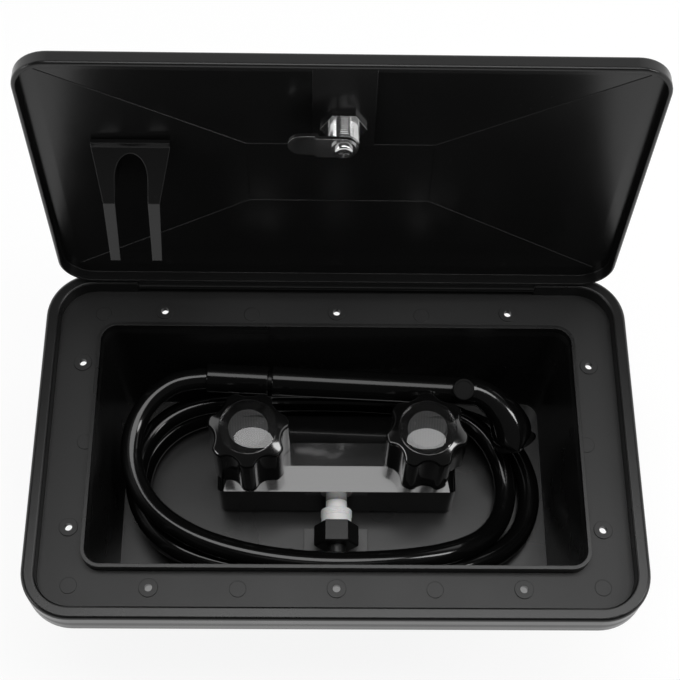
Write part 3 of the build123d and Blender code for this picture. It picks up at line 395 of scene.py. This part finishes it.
def clear_cap():
    """Clear acrylic as two shaders: a mirror whose share grows towards the rim, over plain glass."""
    finish = Finish("clear_acrylic", Metallic=1.0)
    cloud = finish.noise(0.01)
    finish.set(Base_Color=grey(0.95), Roughness=0.02 + cloud * 0.03)
    mirror = finish.add("ShaderNodeFresnel", {}, {"IOR": 1.49})
    clear = finish.add("ShaderNodeBsdfTransparent", {}, {"Color": grey(0.96)})
    gloss = Value(finish, finish.shader.outputs[0])
    mirror_share = (mirror * 1.8).clipped()
    blend = finish.add("ShaderNodeMixShader", {}, {0: mirror_share, 1: clear, 2: gloss})
    finish.link(finish.tree.nodes["Material Output"].inputs["Surface"], blend)
    return finish.material


def ruled_disc():
    finish = Finish("ruled_disc")
    line_spacing = 0.0009
    lines = (finish.axis("X") * (2 * math.pi / line_spacing)).sine() * 0.5 + 0.5
    cloud = finish.noise(0.006)
    finish.set(Base_Color=finish.mixed(lines, grey(0.03), grey(0.075)))
    finish.set(Roughness=0.35 + cloud * 0.1)
    finish.bump(lines, 0.00006)
    return finish.material


finishes["white_nylon"] = white_nylon()
finishes["clear_cap"] = clear_cap()
finishes["index_print"] = ruled_disc()
print("nylon, caps and discs done")

# %% [markdown]
# Seals are black rubber, matt and a little mottled. The broad noise keeps a large flat gasket from
# looking like painted card.

# %% Rubber
def rubber():
    finish = Finish("seal_rubber")
    cloud = finish.noise(0.012, detail=4.0)
    finish.set(Base_Color=finish.mixed(cloud, grey(0.014), grey(0.03)))
    finish.set(Roughness=0.7 + cloud * 0.2)
    finish.bump(finish.noise(0.0012, detail=4.0), 0.00015, edge=0.0003)
    return finish.material


finishes["rubber"] = rubber()
for name, node in frame["nodes"].items():
    node.data.materials.clear()
    node.data.materials.append(finishes[slot_of_node[name]])
shower_hose.data.materials.append(finishes["hose_vinyl"])
print("finishes on", len(frame["nodes"]), "nodes")

# %% [markdown]
# Threads are turned or moulded ridges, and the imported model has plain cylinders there. A thread
# this fine reads the same as a row of rings, so a zigzag profile is spun once round the axis. The
# rings sit on the plain barrel, which stays.

# %% Thread rings
ring_steps = 48


def thread_rings(name, base, direction, radius, height, pitch, turns, slot, body):
    """Rings on a cylinder: base is the axis point where they start, direction the way they go."""
    along = Vector(direction).normalized()
    side = along.orthogonal().normalized()
    mesh = bmesh.new()
    profile = []
    for turn in range(turns):
        profile += [(turn * pitch, 0.0), ((turn + 0.5) * pitch, height)]
    profile.append((turns * pitch, 0.0))
    points = [mesh.verts.new(Vector(base) + along * far + side * (radius + out))
              for far, out in profile]
    edges = [mesh.edges.new(pair) for pair in zip(points, points[1:])]
    bmesh.ops.spin(mesh, geom=points + edges, cent=Vector(base), axis=along, steps=ring_steps,
                   angle=2 * math.pi, use_merge=True, use_normal_flip=False)
    bmesh.ops.recalc_face_normals(mesh, faces=mesh.faces)
    data = bpy.data.meshes.new(name)
    mesh.to_mesh(data)
    mesh.free()
    piece = bpy.data.objects.new(name, data)
    bpy.context.scene.collection.objects.link(piece)
    data.materials.append(finishes[slot])
    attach(piece, body)
    return piece


nipple_thread_from_end = 12.2 * MM
nipple_ring_base = 8.88 * MM
nipple_ring_height = 0.35 * MM
nipple_pitch = 1.1 * MM
nipple_turns = 4
low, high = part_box("outlet_nipple")
nipple_thread_start = Vector(((low.x + high.x) / 2, low.y + nipple_thread_from_end,
                              (low.z + high.z) / 2))
nipple_thread = thread_rings("nipple_thread", nipple_thread_start, (0, 1, 0), nipple_ring_base,
                             nipple_ring_height, nipple_pitch, nipple_turns, "white_nylon", "root")
print("nipple thread faces", len(nipple_thread.data.polygons))

# %% [markdown]
# The lock's barrel has a thread from the nut down to the cam. The open lid leans, so the barrel's
# axis is taken from the frame: from the middle of the nut to the middle of the screw.

# %% Lock thread
nut_low, nut_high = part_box("lock_nut")
screw_low, screw_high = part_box("cam_screw")
nut_middle = (nut_low + nut_high) / 2
lock_axis = ((screw_low + screw_high) / 2 - nut_middle).normalized()
lock_thread_from_nut = 1.4 * MM
lock_ring_base = 7.38 * MM
lock_ring_height = 0.4 * MM
lock_pitch = 1.2 * MM
lock_turns = 8
lock_thread_start = nut_middle + lock_axis * lock_thread_from_nut
thread_rings("lock_thread", lock_thread_start, lock_axis, lock_ring_base, lock_ring_height,
             lock_pitch, lock_turns, "lock_chrome", "lid")
print("lock axis", [round(value, 3) for value in lock_axis])

# %% [markdown]
# The two inlets behind the wall carry a half-inch pipe thread of 14 turns to the inch. The rings
# rise to the thread's real major radius and stop short of the chamfer at the end.

# %% Inlet threads
pipe_thread_from_nut = 0.2 * MM
pipe_ring_base = 10.17 * MM
pipe_ring_height = 0.23 * MM
pipe_pitch = 25.4 / 14 * MM
pipe_turns = 11
for side in ("left", "right"):
    low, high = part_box(f"inlet_shank_{side}")
    nut_low, nut_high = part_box(f"locknut_{side}")
    thread_start = Vector(((low.x + high.x) / 2, (low.y + high.y) / 2,
                           nut_low.z - pipe_thread_from_nut))
    thread_rings(f"inlet_thread_{side}", thread_start, (0, 0, -1), pipe_ring_base,
                 pipe_ring_height, pipe_pitch, pipe_turns, "shank_plastic", "root")
print("inlet threads from", round(thread_start.z, 4))

# %% [markdown]
# Where the lid's raised middle starts, the real moulding has a fine rounded bead along each crease,
# and so along the four diagonals that run out from its corners. Thin rods, half sunk in the lid's
# inner face, give those lines their own highlights. They are set out in the lid's own plane.

# %% Creases of the lid
hinge_place = Vector((0, 97.6, 13.1)) * MM
open_angle = math.radians(94)
lid_normal = Vector((0, math.sin(open_angle), math.cos(open_angle)))
lid_away = Vector((0, -math.cos(open_angle), math.sin(open_angle)))
crease_radius = 0.28 * MM
middle_height = 5.65
border_height = 3.05
middle_outline = ((-48, 74.9), (48, 74.9), (48, 122.9), (-48, 122.9))
border_outline = ((-146.1, 16.7), (146.1, 16.7), (146.1, 180.4), (-146.1, 180.4))


def on_lid(across, away, height):
    """A point in millimetres along the hinge, away from it, and outwards from the hinge's plane."""
    return hinge_place + (Vector((across, 0, 0)) + lid_away * away + lid_normal * height) * MM


def rod(mesh, start, end, radius):
    middle = (start + end) / 2
    turn = (end - start).to_track_quat("Z", "Y").to_matrix().to_4x4()
    bmesh.ops.create_cone(mesh, cap_ends=True, cap_tris=False, segments=10, radius1=radius,
                          radius2=radius, depth=(end - start).length,
                          matrix=Matrix.Translation(middle) @ turn)


middle_corners = [on_lid(x, y, middle_height) for x, y in middle_outline]
border_corners = [on_lid(x, y, border_height) for x, y in border_outline]
crease_mesh = bmesh.new()
for corner, following, border in zip(middle_corners, middle_corners[1:] + middle_corners[:1],
                                     border_corners):
    rod(crease_mesh, corner, following, crease_radius)
    rod(crease_mesh, corner, border, crease_radius)
crease_data = bpy.data.meshes.new("lid_creases")
crease_mesh.to_mesh(crease_data)
crease_mesh.free()
lid_creases = bpy.data.objects.new("lid_creases", crease_data)
bpy.context.scene.collection.objects.link(lid_creases)
crease_data.materials.append(finishes["lid_plastic"])
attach(lid_creases, "lid")
print("lid creases", len(crease_data.polygons), "faces")

# %% [markdown]
# A black glossy product shows its studio rather than itself. One large softbox hangs over it. A
# level face mirrors the dark just behind that softbox, and a face that leans to the camera mirrors
# the softbox itself, so the faucet's front slope is bright and its ridge is dark. Two small boxes at
# the sides put glints on the knobs, the hose and the spray head.

# %% Softboxes
def softbox(name, place, target, size, power):
    lamp = bpy.data.lights.new(name, "AREA")
    lamp.shape = "ELLIPSE"
    lamp.size, lamp.size_y = size
    lamp.energy = power
    stand = bpy.data.objects.new(name, lamp)
    aim = Vector(target) - Vector(place)
    stand.matrix_world = Matrix.Translation(place) @ aim.to_track_quat("-Z", "Y").to_matrix().to_4x4()
    bpy.context.scene.collection.objects.link(stand)


softbox("overhead_box", (0.1, 0.125, 1.3), (0.1, 0.1249, 0), (1.3, 0.69), 7.6)
softbox("left_box", (-1.4, -0.5, 0.7), (0, 0, 0), (0.3, 0.7), 2.4)
softbox("right_box", (1.0, -0.1, 1.0), (0, 0, 0), (0.3, 0.6), 3.6)
print("softboxes hung")

# %% [markdown]
# The surround is white up to a little above eye level, and dark overhead, like a cove in a hall
# with a dark ceiling. The cove reaches higher behind the box, which lights the lid's top edge. The
# camera, mirrors and glass all see it at full strength. Diffuse light gets less of it, or black
# plastic would turn grey. The paper floor does the same and keeps the shadow.

# %% Floor and surround
floor_gap = 0.0005
floor_half_size = 6.0
floor_glow_share = 0.8
floor_height = cad_bounds[0][2] - floor_gap
floor_mesh = bmesh.new()
bmesh.ops.create_grid(floor_mesh, x_segments=1, y_segments=1, size=floor_half_size,
                      matrix=Matrix.Translation((0, 0, floor_height)))
floor_data = bpy.data.meshes.new("floor")
floor_mesh.to_mesh(floor_data)
floor_mesh.free()
floor = bpy.data.objects.new("floor", floor_data)
bpy.context.scene.collection.objects.link(floor)

paper = Finish("floor_paper", Base_Color=grey(0.86), Roughness=0.9)
glow = paper.add("ShaderNodeEmission", {}, {"Color": grey(1.0), "Strength": 1.1})
paper_shader = Value(paper, paper.shader.outputs[0])
glow_share = paper.seen_directly() * floor_glow_share
blend = paper.add("ShaderNodeMixShader", {}, {0: glow_share, 1: paper_shader, 2: glow})
paper.link(paper.tree.nodes["Material Output"].inputs["Surface"], blend)
floor.data.materials.append(paper.material)


class Surround(Finish):
    """The world's node tree, with the same way of adding nodes."""

    def __init__(self, world):
        world.use_nodes = True
        self.tree = world.node_tree
        self.shader = self.tree.nodes["Background"]


wall_level = 1.0
ceiling_level = 0.05
cove_rise = 0.35
diffuse_level = 0.25
world = bpy.data.worlds.new("surround")
bpy.context.scene.world = world
surround = Surround(world)
direction = surround.add("ShaderNodeTexCoord", {}, {}, "Generated")
height = surround.add("ShaderNodeSeparateXYZ", {}, {0: direction}, "Z")
behind = surround.add("ShaderNodeSeparateXYZ", {}, {0: direction}, "Y")
dome = surround.add("ShaderNodeMapRange", {"interpolation_type": "SMOOTHSTEP"},
                    {"Value": height - behind * cove_rise, "From Min": 0.35, "From Max": 0.6,
                     "To Min": wall_level, "To Max": ceiling_level})
seen = surround.seen_directly()
surround.set(Color=grey(1.0), Strength=dome * seen + (1 - seen) * diffuse_level)
bpy.context.scene.view_settings.view_transform = "Standard"
print("floor at", round(floor_height, 4))
